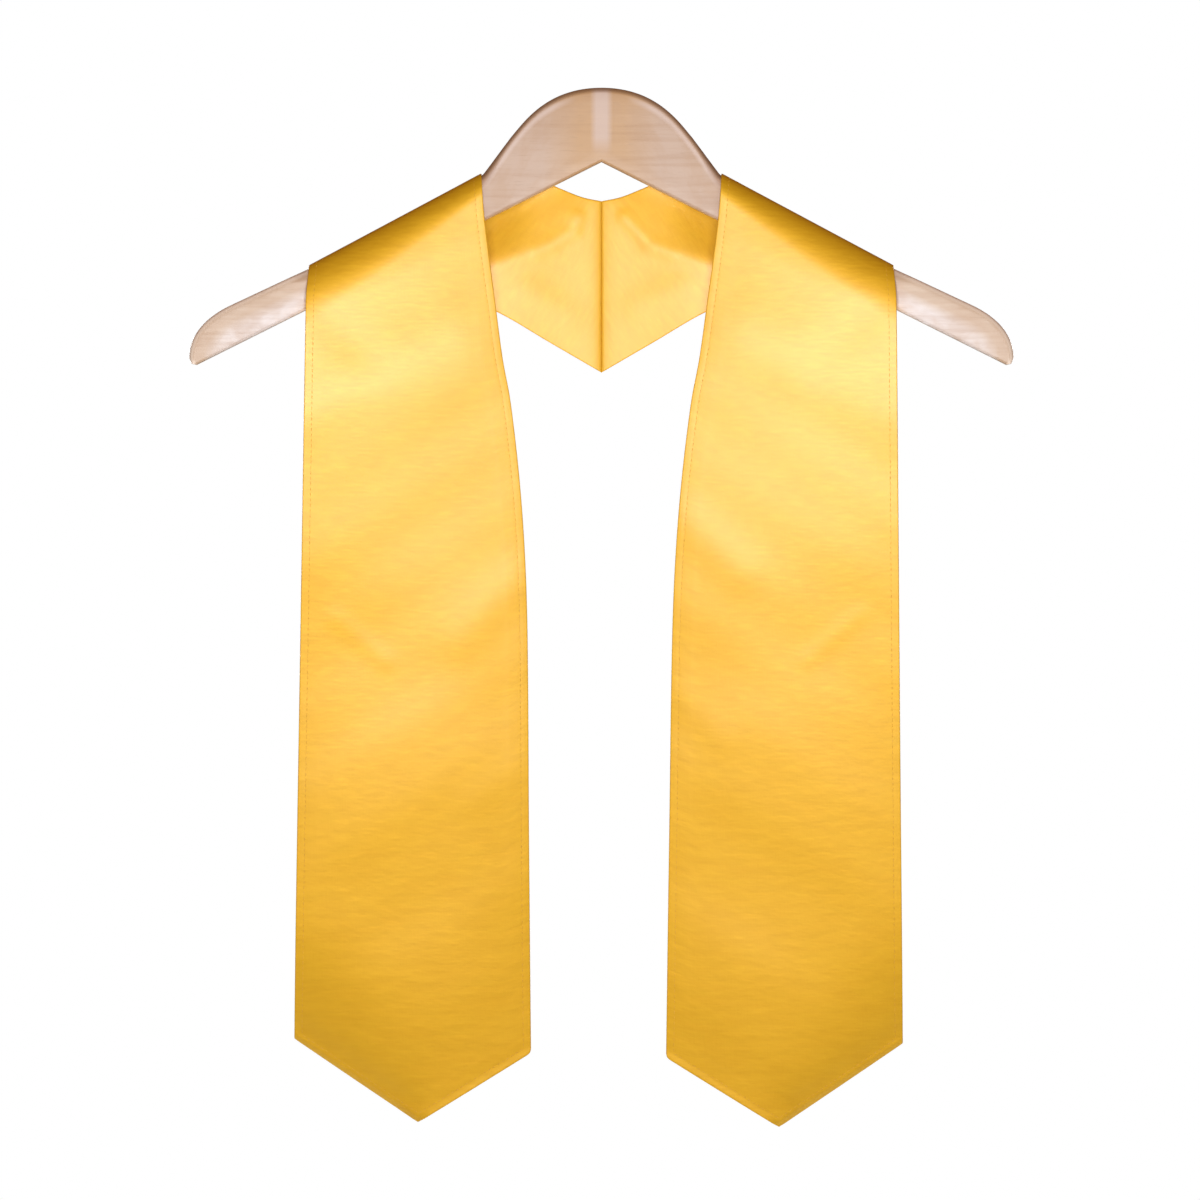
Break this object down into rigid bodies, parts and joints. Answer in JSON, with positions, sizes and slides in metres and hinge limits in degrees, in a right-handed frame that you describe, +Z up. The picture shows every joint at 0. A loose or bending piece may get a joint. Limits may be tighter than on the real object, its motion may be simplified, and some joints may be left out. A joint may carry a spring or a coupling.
{
  "type": "graduation stole on a wooden coat hanger",
  "caption": "Plain satin graduation stole with pointed ends, two-layer panels joined by a centre-back seam, hanging flat over a contoured wooden coat hanger",
  "frame": {"origin": "Middle of the top of the hanger, where the hanger is held up", "axes": "+Z up, -Y out of the stole's front, +X to the wearer's left, which is the viewer's right"},
  "size_m": [0.445, 0.0418, 0.5629],
  "materials": {
    "satin": "glossy gold satin",
    "facing_satin": "glossy gold satin",
    "beech": "lacquered pale beech"
  },
  "bodies": {
    "root": {"left_face": "satin", "left_facing": "facing_satin", "right_face": "satin", "right_facing": "facing_satin", "hanger": "beech"}
  },
  "joints": []
}
